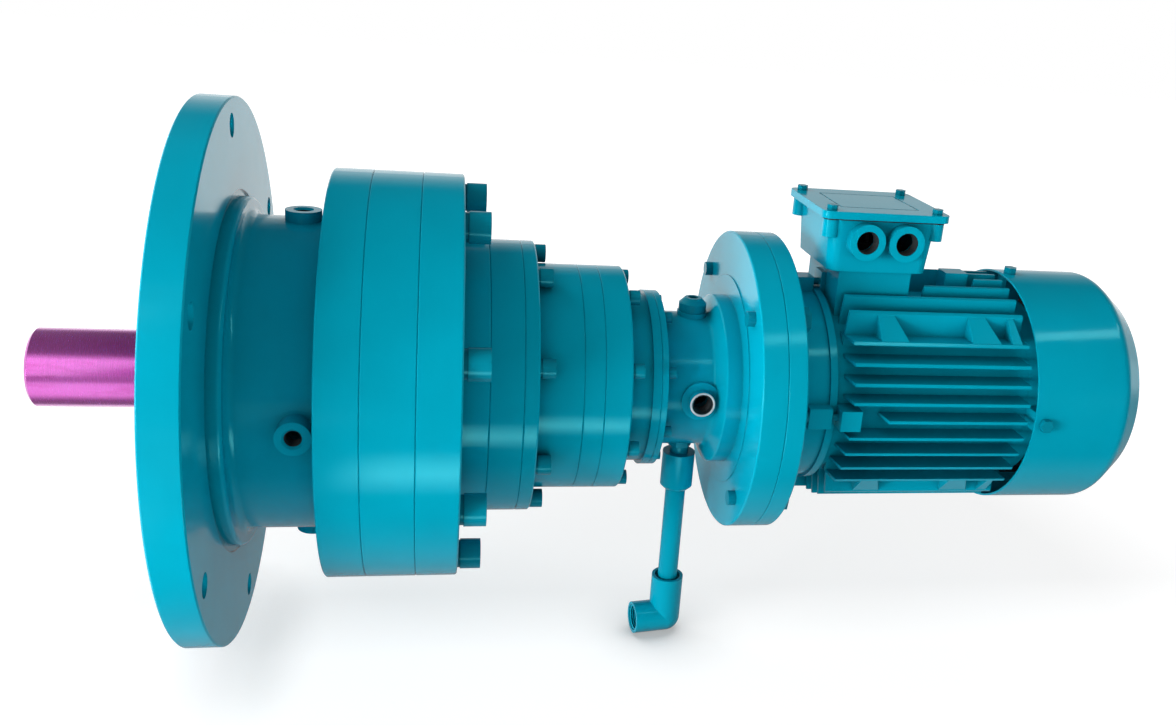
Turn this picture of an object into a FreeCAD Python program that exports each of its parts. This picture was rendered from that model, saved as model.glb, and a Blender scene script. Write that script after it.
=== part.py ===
"""Planetary gear motor: three in-line planetary stages, input adapter and a finned flange motor.

Frame: X runs along the shaft from the machine towards the motor, Z is up, millimetres.
The origin is the centre of the output flange's mounting face.
A clock angle counts from the top (+Z) towards the side of the cable entries (-Y).
"""
import FreeCAD, Part
import math
import os

V = FreeCAD.Vector
AXIS = V(1, 0, 0)
ORIGIN = V(0, 0, 0)

# Fits
seat_gap = 0.02
running_gap = 0.05
face_gap = 1.5
shoulder = 4.5
bearing_lip = 5.0
recess_gap = 2.5
seam_cut = 0.6

# Output shaft and its keyway
shaft_end_d = 60.0
shaft_end_len = 120.0
shaft_chamfer = 2.0
seal_journal_d = 65.0
front_seat_d = 70.0
rear_seat_d = 85.0
shaft_shoulder_d = 100.0
key_w = 18.0
key_len = 90.0
key_depth = 7.0
key_from_end = 15.0
key_clock = 234.0

# Output flange and housing
flange_d = 420.0
flange_t = 26.0
flange_hole_edge = 20.0
flange_holes = 6
flange_hole_d = 18.0
spigot_from_holes = 30.0
spigot_len = 6.0
collar_h = 13.5
collar_x = 35.0
collar_round = 3.0
collar_fillet = 6.0
groove_w = 5.0
groove_depth = 1.5
neck_step = 38.5
neck_end_x = 96.0
rim_t = 30.0
edge_cut = 1.0
cavity_wall = 20.0
port_bore_d = 12.0
port_chamfer = 1.6
port_clocks = (0.0, 90.0, 180.0)
port_places = (75.0, 81.0, 79.0)
port_boss_sizes = (27.0, 25.0, 27.0)
port_heights = (8.0, 15.0, 15.0)

# Oil seal and output bearings
seal_d = 90.0
seal_w = 10.0
seal_lip = 8.0
seal_step = 4.0
seal_inset = 1.0
journal_lead = 3.0
front_bearing_d = 125.0
front_bearing_w = 25.0
rear_bearing_d = 150.0
rear_bearing_w = 28.0

# Gear teeth, the same counts in every stage
sun_teeth = 12
planet_teeth = 18
planets = 3
pressure_angle = 25.0
addendum = 0.9
dedendum = 1.15
backlash = 0.3

# Carriers, pins and stage screws
carrier_gap = 2.0
carrier_margin = 6.0
pin_gap = 0.3
pin_collar = 3.0
pin_collar_t = 2.0
pin_recess = 4.0
sun_hub_step = 2.5
stub_2_d = 28.0
stub_1_d = 18.0
stage_screws = 8
screw_hole_allowance = 0.5
head_ratio = 1.5
socket_ratio = 0.8
washer_ratio = 1.38
washer_t_ratio = 0.18

# Stage 3, at the output
body_3_d = 321.0
ring_3_w = 37.0
ring_3_wall = 40.5
cover_3_t = 31.0
carrier_3_t = 22.0
pin_3_d = 28.0
screw_3_d = 16.0
screw_3_edge = 15.5

# Stage 2
body_2_d = 220.0
band_2_w = 20.0
ring_2_w = 25.0
ring_2_wall = 26.0
cover_2_t = 11.0
carrier_2_t = 14.0
pin_2_d = 18.0
screw_2_d = 10.0
screw_2_edge = 9.0

# Stage 1, next to the motor
body_1_step = 18.0
band_1_w = 35.0
ring_1_w = 16.0
ring_1_wall = 20.0
cover_1_t = 21.0
carrier_1_t = 12.0
pin_1_d = 16.0
screw_1_d = 8.0
screw_1_edge = 8.0

# Input adapter
waist_step = 22.0
waist_len = 19.0
joint_h = 3.0
joint_t = 7.0
adapter_plate_t = 5.0
screw_0_d = 6.0
screw_0_edge = 5.0
adapter_neck_step = 14.0
adapter_wall = 13.0
adapter_collar_d = 142.0
adapter_collar_len = 14.0
flare_len = 5.5
flare_round = 4.0
adapter_len = 86.6
motor_flange_d = 250.0
adapter_flange_t = 20.4
adapter_step_d = 176.0
adapter_step_h = 1.0
motor_spigot_d = 180.0
motor_spigot_len = 4.0
motor_bolt_pcd = 215.0
motor_bolt_d = 12.0
motor_bolts = 4
motor_bolt_stickout = 6.0
motor_bolt_head_h = 7.5
motor_bolt_flats = 18.0
motor_flange_t = 15.5

# Ports and oil pipe of the adapter
fitting_to_flare = 1.0
plug_d = 23.0
plug_h = 11.5
plug_thread_d = 14.0
plug_dome = 4.5
plug_seat_h = 3.0
side_port_d = 20.0
side_port_bore_d = 15.5
side_port_h = 8.0
side_port_shift = 1.0
pad_d = 32.0
pad_h = 1.5
plug_hex = 8.0
nipple_d = 20.0
nipple_thread_d = 16.0
nipple_hex_h = 5.0
nipple_gap = 6.0
coupling_d = 28.0
coupling_len = 34.0
coupling_cut = 3.0
pipe_d = 17.5
pipe_bore_d = 12.0
pipe_len = 87.0
pipe_seat = 10.0
elbow_d = 28.0
elbow_height = 41.0
elbow_arm_len = 30.0
elbow_mouth_d = 22.5
elbow_mouth_depth = 12.0
elbow_socket_relief = 4.0
elbow_turn = 8.0

# Bearings inside the gearbox
carrier_2_seat_d = 45.0
carrier_2_bearing_d = 85.0
carrier_2_bearing_w = 19.0
carrier_1_seat_d = 35.0
carrier_1_bearing_d = 72.0
carrier_1_bearing_w = 16.0
input_seat_d = 25.0
input_bearing_d = 52.0
input_bearing_w = 15.0

# Motor
motor_shaft_d = 28.0
motor_shaft_len = 60.0
motor_core_shaft_d = 38.0
motor_bearing_d = 62.0
motor_bearing_seat_d = 30.0
motor_bearing_w = 16.0
bearing_from_motor_face = 14.0
motor_bearing_hub_wall = 9.0
motor_seal_bore_d = 40.0
shaft_end_gap = 2.6
fan_seat_d = 24.0
shield_seat_len = 8.0
shield_wall = 4.0
coupling_sleeve_d = 48.0
coupling_sleeve_len = 46.0
barrel_h = 3.0
barrel_len = 31.9
barrel_wall = 14.0
frame_len = 174.0
frame_wall = 5.0
rim_h = 5.0
rim_len = 6.0
fin_h = 20.0
fin_t = 2.6
fin_pitch = 14.8
fins_per_side = 4
fin_from_frame = 12.0
fin_end_gap = 8.0
fin_runout = 3.0
short_fins = 2
gusset_from_frame = (39.0, 117.0, 152.0)
gusset_w = (24.0, 26.0, 9.0)
gusset_drop = 0.5
gusset_slope = 0.45
lug_from_frame = 6.0
lug_len = 17.0
lug_fin_gap = 20.0
lift_boss_from_frame = 117.0
lift_boss_len = 20.0
lift_boss_rise = 2.0
lug_w = 17.0
stator_from_frame = 33.0
stator_len = 105.0
stator_depth = 28.0
winding_len = 26.0
winding_gap = 7.0
air_gap = 0.5
rear_shield_t = 14.0
fan_from_shield = 18.0
fan_w = 22.0
fan_tip_gap = 11.65
fan_hub_d = 50.0
fan_blades = 8
fan_blade_t = 3.0
fan_disc_t = 3.0
rotor_end_ring_drop = 5.0
rotor_end_ring_w = 8.0

# Fan cowl
cowl_overlap = 3.0
cowl_d = 202.5
cowl_wall = 1.6
cowl_fin_gap = 0.65
cowl_straight = 82.0
cowl_len = 102.0
cowl_round = 12.0
cowl_shoulder = 16.25
grille_first_d = 30.0
grille_rings = 4
grille_ring_step = 14.0
grille_slot_w = 8.0
grille_spokes = 4
cowl_screw_from_edge = 9.0
cowl_screw_d = 6.0
cowl_screw_flats = 10.0
cowl_screw_head_h = 5.0
cowl_screw_depth = 12.0
cowl_lug_w = 16.0
end_screw_d = 6.0
end_ear_len = 19.0
end_ear_drop = 6.0
end_screw_drop = 11.0

# Terminal box
box_from_frame = 41.0
box_above_fins = 9.0
box_h = 42.0
box_w = 90.0
box_foot_w = 84.0
box_depth = 92.0
box_foot_depth = 86.0
box_wall = 4.0
gasket_t = 1.5
lid_w = 107.0
lid_depth = 99.0
lid_t = 6.0
lid_screw_d = 5.0
lid_screw_inset = 9.0
lid_screw_flats = 8.0
lid_screw_head_h = 4.0
lid_ear_d = 13.0
lid_ear_h = 14.0
lid_round = 7.0
lid_panel_inset = 20.0
lid_panel_line = 1.2
lid_panel_depth = 0.6
box_round = 9.0
entry_d = 29.5
entry_bore_d = 18.5
entry_len = 9.0
entry_spacing = 33.0
entry_height = 26.5
pedestal_w = 62.0
pedestal_depth = 76.0
lead_hole_d = 16.0
lead_hole_y = 28.0
terminal_w = 56.0
terminal_depth = 34.0
terminal_h = 14.0
stud_d = 5.0
stud_h = 12.0
stud_step = 16.0

# Teeth, diameters and places that follow from the sizes above
ring_teeth = sun_teeth + 2 * planet_teeth
flange_pcd = flange_d - 2 * flange_hole_edge
spigot_d = flange_pcd - 2 * spigot_from_holes
neck_d = body_3_d - 2 * neck_step
collar_d = neck_d + 2 * collar_h
groove_d = collar_d + 2 * groove_w
ring_3_pitch_d = body_3_d - 2 * ring_3_wall
screw_3_pcd = body_3_d - 2 * screw_3_edge
ring_2_pitch_d = body_2_d - 2 * ring_2_wall
screw_2_pcd = body_2_d - 2 * screw_2_edge
body_1_d = body_2_d - 2 * body_1_step
ring_1_pitch_d = body_1_d - 2 * ring_1_wall
screw_1_pcd = body_1_d - 2 * screw_1_edge
waist_d = body_1_d - 2 * waist_step
joint_d = waist_d + 2 * joint_h
screw_0_pcd = waist_d - 2 * screw_0_edge
adapter_neck_d = waist_d - 2 * adapter_neck_step
fin_tip_d = cowl_d - 2 * (cowl_wall + cowl_fin_gap)
frame_d = fin_tip_d - 2 * fin_h
frame_bore_d = frame_d - 2 * frame_wall
rim_d = frame_d + 2 * rim_h
barrel_d = frame_d + 2 * barrel_h
stator_bore_d = frame_bore_d - 2 * stator_depth
winding_d = frame_bore_d - 2 * winding_gap
rotor_end_ring_d = stator_bore_d - 2 * rotor_end_ring_drop
fan_d = cowl_d - 2 * (cowl_wall + fan_tip_gap)
cowl_end_d = cowl_d - 2 * cowl_shoulder
box_z = fin_tip_d / 2 + box_above_fins
box_top_z = box_z + box_h
entry_z = box_z + entry_height
ring_3_x = neck_end_x + rim_t
cover_3_x = ring_3_x + ring_3_w
band_2_x = cover_3_x + cover_3_t
ring_2_x = band_2_x + band_2_w
cover_2_x = ring_2_x + ring_2_w
band_1_x = cover_2_x + cover_2_t
ring_1_x = band_1_x + band_1_w
cover_1_x = ring_1_x + ring_1_w
waist_x = cover_1_x + cover_1_t
joint_x = waist_x + waist_len + joint_t
motor_x = joint_x + adapter_len
adapter_flange_x = motor_x - adapter_flange_t
flare_x = adapter_flange_x - adapter_collar_len - flare_len
fitting_x = flare_x - plug_d / 2 - fitting_to_flare
barrel_x = motor_x + motor_flange_t
frame_x = barrel_x + barrel_len
frame_end_x = frame_x + frame_len
box_x = frame_x + box_from_frame
cowl_x = frame_end_x - cowl_overlap
stator_x = frame_x + stator_from_frame
stator_end_x = stator_x + stator_len
seal_x = seal_inset - spigot_len
seal_end = seal_x + seal_w
front_cup_x = seal_end + seal_lip
rear_cup_x = front_cup_x + front_bearing_w
rear_cup_end = rear_cup_x + rear_bearing_w


# Building blocks

def wire(points, place):
    """Closed wire through (a, b) points. A third value rounds that corner."""
    corners = []
    for i, point in enumerate(points):
        here = V(point[0], point[1], 0)
        if len(point) == 2:
            corners.append((here, None, here))
            continue
        before = (V(points[i - 1][0], points[i - 1][1], 0) - here).normalize()
        following = points[(i + 1) % len(points)]
        after = (V(following[0], following[1], 0) - here).normalize()
        half = before.getAngle(after) / 2
        reach = point[2] / math.tan(half)
        middle = here + (before + after).normalize() * (point[2] / math.sin(half) - point[2])
        corners.append((here + before * reach, middle, here + after * reach))
    edges = []
    for i, (start, middle, end) in enumerate(corners):
        last = corners[i - 1][2]
        if last.distanceToPoint(start) > 1e-6:
            edges.append(Part.makeLine(place(last), place(start)))
        if middle is not None:
            edges.append(Part.Arc(place(start), place(middle), place(end)).toShape())
    return Part.Wire(edges)


def turned(points):
    """Solid turned about the shaft axis from (x, radius) points."""
    face = Part.Face(wire(points, lambda p: V(p.x, 0, p.y)))
    return face.revolve(ORIGIN, AXIS, 360)


def rod(d, start_x, end_x, radius=0.0):
    """Cylinder along X, its axis at this radius straight above the shaft."""
    return Part.makeCylinder(d / 2, end_x - start_x, V(start_x, 0, radius), AXIS)


def tube(outer_d, inner_d, start_x, end_x):
    return rod(outer_d, start_x, end_x).cut(rod(inner_d, start_x, end_x))


def post(d, x, low_r, high_r):
    """Radial cylinder at clock 0."""
    return Part.makeCylinder(d / 2, high_r - low_r, V(x, 0, low_r))


def block(x0, x1, y0, y1, z0, z1):
    return Part.makeBox(x1 - x0, y1 - y0, z1 - z0, V(x0, y0, z0))


def hexagon(across_flats, start, length, direction):
    """Six-sided prism from a start point along a direction."""
    corner_r = across_flats / math.sqrt(3)
    angles = [i * math.pi / 3 for i in range(7)]
    outline = Part.makePolygon([V(corner_r * math.cos(a), corner_r * math.sin(a), 0) for a in angles])
    solid = Part.Face(outline).extrude(V(0, 0, length))
    solid.Placement = FreeCAD.Placement(start, FreeCAD.Rotation(V(0, 0, 1), direction))
    return solid


def clock(shape, angle):
    """Copy turned about the shaft axis to a clock angle."""
    copy = shape.copy()
    copy.rotate(ORIGIN, AXIS, angle)
    return copy


def around(shape, count, first=0.0):
    return [clock(shape, first + 360 * i / count) for i in range(count)]


def cut_all(solid, tools):
    return solid.cut(Part.makeCompound(tools)) if tools else solid


def between(count):
    """First clock angle of a pattern that leaves the top free."""
    return 180 / count


# Gear teeth

def involute(radius, base_r):
    """Angle swept by the involute from its base circle out to a radius."""
    if radius <= base_r:
        return 0.0
    roll = math.sqrt((radius / base_r) ** 2 - 1)
    return roll - math.atan(roll)


def tooth_wire(teeth, pitch_r, inner_r, outer_r, thinning, phase, x):
    """Outline of external teeth; one tooth stands at the phase clock angle."""
    base_r = pitch_r * math.cos(math.radians(pressure_angle))
    pitch_half = math.pi / (2 * teeth) - thinning / (2 * pitch_r) + involute(pitch_r, base_r)
    flank = [(r, pitch_half - involute(r, base_r)) for r in (inner_r, pitch_r, outer_r)]
    points = []
    for i in range(teeth):
        centre = math.radians(phase) + 2 * math.pi * i / teeth
        side = [(r, centre - half) for r, half in flank]
        side += [(r, centre + half) for r, half in reversed(flank)]
        points += [V(x, -r * math.sin(a), r * math.cos(a)) for r, a in side]
    return Part.makePolygon(points + points[:1])


def gear_blank(teeth, module, x, width, phase):
    pitch_r = module * teeth / 2
    outline = tooth_wire(teeth, pitch_r, pitch_r - dedendum * module, pitch_r + addendum * module,
                         backlash / 2, phase, x)
    return Part.Face(outline).extrude(V(width, 0, 0))


def tooth_space(module, x, width, phase):
    """What is cut from a ring gear: external teeth made wider by the backlash."""
    pitch_r = module * ring_teeth / 2
    outline = tooth_wire(ring_teeth, pitch_r, pitch_r - addendum * module, pitch_r + dedendum * module,
                         -backlash / 2, phase, x)
    return Part.Face(outline).extrude(V(width, 0, 0))


def planet_clock(i):
    """Clock angle of a planet, moved to the nearest one at which it meshes with both gears."""
    step = 360 / (sun_teeth + ring_teeth)
    return round(i * (sun_teeth + ring_teeth) / planets) * step


def planet_phase(i):
    """Clock angle of one planet tooth, where a sun tooth stands at the top."""
    at = planet_clock(i)
    past_centre_line = (-at) % (360 / sun_teeth)
    return at + 180 + 180 / planet_teeth - past_centre_line * sun_teeth / planet_teeth


def ring_phase():
    """Clock angle of the ring gear's space that takes a tooth of the top planet."""
    return (planet_phase(0) % (360 / planet_teeth)) * planet_teeth / ring_teeth


class Stage:
    """Places and radii of one planetary stage, whose ring gear starts at x."""

    def __init__(self, x, ring_w, ring_pitch_d, carrier_t, pin_d):
        self.x = x
        self.end = x + ring_w
        self.width = ring_w
        self.module = ring_pitch_d / ring_teeth
        self.gear_x = x + face_gap
        self.gear_w = ring_w - 2 * face_gap
        self.gear_end = self.gear_x + self.gear_w
        self.sun_r = self.module * sun_teeth / 2
        self.planet_r = self.module * planet_teeth / 2
        self.carrier_r = self.sun_r + self.planet_r
        self.carrier_end = self.gear_x - carrier_gap
        self.carrier_x = self.carrier_end - carrier_t
        self.pin_d = pin_d
        self.reach = self.carrier_r + pin_d / 2 + carrier_margin
        self.tip_r = self.carrier_r + self.planet_r + addendum * self.module


stage_3 = Stage(ring_3_x, ring_3_w, ring_3_pitch_d, carrier_3_t, pin_3_d)
stage_2 = Stage(ring_2_x, ring_2_w, ring_2_pitch_d, carrier_2_t, pin_2_d)
stage_1 = Stage(ring_1_x, ring_1_w, ring_1_pitch_d, carrier_1_t, pin_1_d)
carrier_2_bearing_x = cover_3_x + pin_recess + bearing_lip
carrier_2_bearing_end = carrier_2_bearing_x + carrier_2_bearing_w
carrier_1_bearing_x = cover_2_x + pin_recess + 2 * bearing_lip
carrier_1_bearing_end = carrier_1_bearing_x + carrier_1_bearing_w
input_bearing_end = joint_x - joint_t - face_gap
input_bearing_x = input_bearing_end - input_bearing_w
motor_bearing_x = motor_x + bearing_from_motor_face
rear_shield_x = frame_end_x
rear_bearing_x = rear_shield_x - bearing_lip
fan_x = rear_shield_x + rear_shield_t + fan_from_shield


def ring_gear(stage, body_d, screw_d, screw_pcd):
    r = body_d / 2
    body = turned([(stage.x, 0), (stage.x, r - seam_cut), (stage.x + seam_cut, r),
                   (stage.end - seam_cut, r), (stage.end, r - seam_cut), (stage.end, 0)])
    body = body.cut(tooth_space(stage.module, stage.x, stage.width, ring_phase()))
    return cut_all(body, screw_holes(screw_d, screw_pcd, stage.x, stage.end))


def planet_gear(stage, i):
    gear = gear_blank(planet_teeth, stage.module, stage.gear_x, stage.gear_w, planet_phase(i))
    gear = gear.cut(rod(stage.pin_d + 2 * running_gap, stage.gear_x, stage.gear_end))
    at = math.radians(planet_clock(i))
    gear.translate(V(0, -stage.carrier_r * math.sin(at), stage.carrier_r * math.cos(at)))
    return gear


def planet_pins(stage):
    """Pins of one carrier, each with a collar that keeps its planet on."""
    pins = []
    for i in range(planets):
        pin = rod(stage.pin_d, stage.carrier_x, stage.gear_end + pin_gap, stage.carrier_r)
        collar = rod(stage.pin_d + 2 * pin_collar, stage.gear_end + pin_gap,
                     stage.gear_end + pin_gap + pin_collar_t, stage.carrier_r)
        pins.append(clock(pin.fuse(collar).removeSplitter(), planet_clock(i)))
    return Part.makeCompound(pins)


def carrier_plate(stage):
    """Round plate of a carrier with the bores of its planet pins."""
    plate = rod(2 * stage.reach, stage.carrier_x, stage.carrier_end)
    hole = rod(stage.pin_d, stage.carrier_x, stage.carrier_end, stage.carrier_r)
    return cut_all(plate, [clock(hole, planet_clock(i)) for i in range(planets)])


def stub_carrier(stage, bearing_x, bearing_end, seat_d, sun_stage, stub_d):
    """Carrier whose stub runs in a bearing and carries the sun gear of the next stage."""
    stub = turned([(sun_stage.gear_x, 0), (sun_stage.gear_x, stub_d / 2), (bearing_x, stub_d / 2),
                   (bearing_x, seat_d / 2), (bearing_end, seat_d / 2), (bearing_end, seat_d / 2 + shoulder),
                   (stage.carrier_x, seat_d / 2 + shoulder), (stage.carrier_x, 0)])
    return carrier_plate(stage).fuse(stub).removeSplitter()


def stub_sun(stage, bearing_x, seat_d, stub_d):
    """Sun gear with a hub that reaches back to the carrier's bearing."""
    gear = gear_blank(sun_teeth, stage.module, stage.gear_x, stage.gear_w, 0)
    hub = rod(seat_d - 2 * sun_hub_step, stage.gear_end, bearing_x)
    return gear.fuse(hub).removeSplitter().cut(rod(stub_d, stage.gear_x, bearing_x))


# Fasteners

def screw_holes(screw_d, pcd, start_x, end_x, allowance=None):
    """Holes for the stage screws: clearance holes unless another allowance is given."""
    allowance = screw_hole_allowance if allowance is None else allowance
    hole = rod(screw_d + 2 * allowance, start_x, end_x, pcd / 2)
    return around(hole, stage_screws, between(stage_screws))


def socket_screw(screw_d, face_x, grip, radius):
    """Socket cap screw on its spring washer; the shank runs back from the face."""
    head_x = face_x + washer_t_ratio * screw_d
    washer = rod(washer_ratio * screw_d, face_x, head_x, radius)
    head = rod(head_ratio * screw_d, head_x, head_x + screw_d, radius)
    shank = rod(screw_d, face_x - grip, face_x, radius)
    socket = hexagon(socket_ratio * screw_d, V(head_x + screw_d / 2, 0, radius), screw_d / 2, AXIS)
    return shank.fuse([washer, head]).removeSplitter().cut(socket)


def stage_screw_set(screw_d, pcd, face_x, grip):
    screw = socket_screw(screw_d, face_x, grip, pcd / 2)
    return Part.makeCompound(around(screw, stage_screws, between(stage_screws)))


# Gearbox housings

def output_housing():
    """Output flange, neck and rim in one casting, with its three oil ports."""
    cavity_r = neck_d / 2 - cavity_wall
    seal_r = seal_d / 2
    profile = [
        (-spigot_len, seal_r), (-spigot_len, spigot_d / 2 - edge_cut), (-spigot_len + edge_cut, spigot_d / 2),
        (0, spigot_d / 2), (0, flange_d / 2 - edge_cut), (edge_cut, flange_d / 2),
        (flange_t - edge_cut, flange_d / 2), (flange_t, flange_d / 2 - edge_cut), (flange_t, groove_d / 2),
        (flange_t - groove_depth, groove_d / 2), (flange_t - groove_depth, collar_d / 2),
        (collar_x, collar_d / 2, collar_round), (collar_x, neck_d / 2, collar_fillet),
        (neck_end_x, neck_d / 2), (neck_end_x, body_3_d / 2 - edge_cut),
        (neck_end_x + edge_cut, body_3_d / 2), (ring_3_x - seam_cut, body_3_d / 2),
        (ring_3_x, body_3_d / 2 - seam_cut), (ring_3_x, cavity_r), (rear_cup_end, cavity_r),
        (rear_cup_end, rear_bearing_d / 2), (rear_cup_x, rear_bearing_d / 2),
        (rear_cup_x, front_bearing_d / 2), (front_cup_x, front_bearing_d / 2),
        (front_cup_x, seal_r - seal_step), (seal_end, seal_r - seal_step), (seal_end, seal_r)]
    body = turned(profile)
    bosses, ports = [], []
    for angle, x, boss_d, height in zip(port_clocks, port_places, port_boss_sizes, port_heights):
        top = neck_d / 2 + height
        mouth = Part.makeCone(port_bore_d / 2, port_bore_d / 2 + port_chamfer, port_chamfer,
                              V(x, 0, top - port_chamfer))
        bosses.append(clock(post(boss_d, x, cavity_r + cavity_wall / 2, top), angle))
        ports.append(clock(post(port_bore_d, x, cavity_r - face_gap, top), angle))
        ports.append(clock(mouth, angle))
    body = body.fuse(bosses).removeSplitter()
    flange_hole = rod(flange_hole_d, 0, flange_t, flange_pcd / 2)
    tapped = screw_holes(screw_3_d, screw_3_pcd, ring_3_x - screw_reach(screw_3_d), ring_3_x, seat_gap)
    return cut_all(body, ports + around(flange_hole, flange_holes) + tapped)


def screw_reach(screw_d):
    """Depth that a stage screw goes into the tapped part."""
    return 1.5 * screw_d


def stage_cover(ring_end, end_x, outer_d, band_end, band_d, recess_r, lip_r, bearing_x, bearing_end,
                bearing_d, cavity_r):
    """Cover of one stage: plate, bearing seat and the band that carries the next ring gear."""
    return turned([
        (ring_end, recess_r), (ring_end, outer_d / 2 - seam_cut), (ring_end + seam_cut, outer_d / 2),
        (end_x - edge_cut, outer_d / 2), (end_x, outer_d / 2 - edge_cut), (end_x, band_d / 2),
        (band_end - seam_cut, band_d / 2), (band_end, band_d / 2 - seam_cut), (band_end, cavity_r),
        (bearing_end, cavity_r), (bearing_end, bearing_d / 2), (bearing_x, bearing_d / 2), (bearing_x, lip_r),
        (ring_end + pin_recess, lip_r), (ring_end + pin_recess, recess_r)])


def stage_cover_3():
    cover = stage_cover(cover_3_x, band_2_x, body_3_d, ring_2_x, body_2_d, stage_3.reach + recess_gap,
                        carrier_2_bearing_d / 2 - shoulder, carrier_2_bearing_x, carrier_2_bearing_end,
                        carrier_2_bearing_d, stage_2.reach + recess_gap)
    tapped = screw_holes(screw_2_d, screw_2_pcd, ring_2_x - screw_reach(screw_2_d), ring_2_x, seat_gap)
    return cut_all(cover, screw_holes(screw_3_d, screw_3_pcd, cover_3_x, band_2_x) + tapped)


def stage_cover_2():
    cover = stage_cover(cover_2_x, band_1_x, body_2_d, ring_1_x, body_1_d, stage_2.reach + recess_gap,
                        carrier_1_bearing_d / 2 - shoulder, carrier_1_bearing_x, carrier_1_bearing_end,
                        carrier_1_bearing_d, stage_1.reach + recess_gap)
    tapped = screw_holes(screw_1_d, screw_1_pcd, ring_1_x - screw_reach(screw_1_d), ring_1_x, seat_gap)
    return cut_all(cover, screw_holes(screw_2_d, screw_2_pcd, cover_2_x, band_1_x) + tapped)


def stage_cover_1():
    """Last cover, whose waist ends in the flange that takes the input adapter."""
    recess_r = stage_1.reach + recess_gap
    bearing_r = input_bearing_d / 2
    lip_r = bearing_r - shoulder
    inner_r = adapter_neck_d / 2 - adapter_wall
    flange_start = joint_x - joint_t
    cover = turned([
        (cover_1_x, recess_r), (cover_1_x, body_1_d / 2 - seam_cut), (cover_1_x + seam_cut, body_1_d / 2),
        (waist_x - edge_cut, body_1_d / 2), (waist_x, body_1_d / 2 - edge_cut), (waist_x, waist_d / 2),
        (flange_start, waist_d / 2), (flange_start, joint_d / 2), (joint_x - seam_cut, joint_d / 2),
        (joint_x, joint_d / 2 - seam_cut), (joint_x, inner_r),
        (input_bearing_end, inner_r), (input_bearing_end, bearing_r), (input_bearing_x, bearing_r),
        (input_bearing_x, lip_r), (cover_1_x + pin_recess, lip_r), (cover_1_x + pin_recess, recess_r)])
    tapped = screw_holes(screw_0_d, screw_0_pcd, joint_x - screw_reach(screw_0_d), joint_x, seat_gap)
    return cut_all(cover, screw_holes(screw_1_d, screw_1_pcd, cover_1_x, waist_x) + tapped)


def input_adapter():
    """Neck between gearbox and motor, with pads and bores for plug, side port and oil pipe."""
    plate_end = joint_x + adapter_plate_t
    step_x = adapter_flange_x - adapter_step_h
    collar_x0 = adapter_flange_x - adapter_collar_len
    neck_r = adapter_neck_d / 2
    inner_r = neck_r - adapter_wall
    recess_x = motor_x - motor_spigot_len - face_gap
    body = turned([
        (joint_x, inner_r), (joint_x, joint_d / 2 - seam_cut), (joint_x + seam_cut, joint_d / 2),
        (plate_end, joint_d / 2), (plate_end, neck_r), (flare_x, neck_r, flare_round),
        (collar_x0, adapter_collar_d / 2 - edge_cut), (collar_x0 + edge_cut, adapter_collar_d / 2),
        (step_x, adapter_collar_d / 2), (step_x, adapter_step_d / 2), (adapter_flange_x, adapter_step_d / 2),
        (adapter_flange_x, motor_flange_d / 2 - edge_cut), (adapter_flange_x + edge_cut, motor_flange_d / 2),
        (motor_x - seam_cut, motor_flange_d / 2), (motor_x, motor_flange_d / 2 - seam_cut),
        (motor_x, motor_spigot_d / 2 + seat_gap),
        (recess_x, motor_spigot_d / 2 + seat_gap), (recess_x, neck_r), (collar_x0, inner_r)])
    port = fitting_x + side_port_shift
    port_r = neck_r + side_port_h
    pads = [clock(post(pad_d, port, inner_r + face_gap, neck_r + pad_h), 90),
            clock(post(side_port_d, port, inner_r + face_gap, port_r), 90),
            post(plug_d + 2 * edge_cut, fitting_x, inner_r + face_gap, plug_seat_r()),
            clock(post(nipple_d + 2 * edge_cut, fitting_x, inner_r + face_gap, nipple_seat_r()), 180)]
    body = body.fuse(pads).removeSplitter()
    bores = [clock(post(side_port_bore_d, port, 0, port_r), 90),
             post(plug_thread_d, fitting_x, 0, plug_seat_r()),
             clock(post(nipple_thread_d, fitting_x, 0, nipple_seat_r()), 180)]
    bolt_hole = rod(motor_bolt_d, adapter_flange_x, motor_x, motor_bolt_pcd / 2)
    clearance = screw_holes(screw_0_d, screw_0_pcd, joint_x, plate_end)
    return cut_all(body, bores + around(bolt_hole, motor_bolts, between(motor_bolts)) + clearance)


def plug_seat_r():
    return adapter_neck_d / 2 + plug_seat_h


def nipple_seat_r():
    return adapter_neck_d / 2 + edge_cut


# Oil fittings

def filler_plug():
    """Domed plug with a socket, screwed into the top of the adapter."""
    seat = plug_seat_r()
    thread = post(plug_thread_d, fitting_x, adapter_neck_d / 2 - adapter_wall, seat)
    head = post(plug_d, fitting_x, seat, seat + plug_h - plug_dome)
    dome_r = seat + plug_h - plug_dome
    dome = Part.makeCone(plug_d / 2, plug_d / 2 - plug_dome, plug_dome, V(fitting_x, 0, dome_r))
    socket = hexagon(plug_hex, V(fitting_x, 0, seat + plug_h / 2), plug_h, V(0, 0, 1))
    return thread.fuse([head, dome]).removeSplitter().cut(socket)


def pipe_nipple():
    """Short nipple with a hexagon, from the adapter down into the coupling."""
    seat = nipple_seat_r()
    low = coupling_top_r() + pipe_seat
    thread = post(nipple_thread_d, fitting_x, adapter_neck_d / 2 - adapter_wall, low)
    flats = hexagon(nipple_d * math.cos(math.pi / 6), V(fitting_x, 0, seat), nipple_hex_h, V(0, 0, 1))
    bore = post(pipe_bore_d, fitting_x, adapter_neck_d / 2 - adapter_wall, low)
    return clock(thread.fuse(flats).removeSplitter().cut(bore), 180)


def coupling_top_r():
    return nipple_seat_r() + nipple_hex_h + nipple_gap


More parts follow.
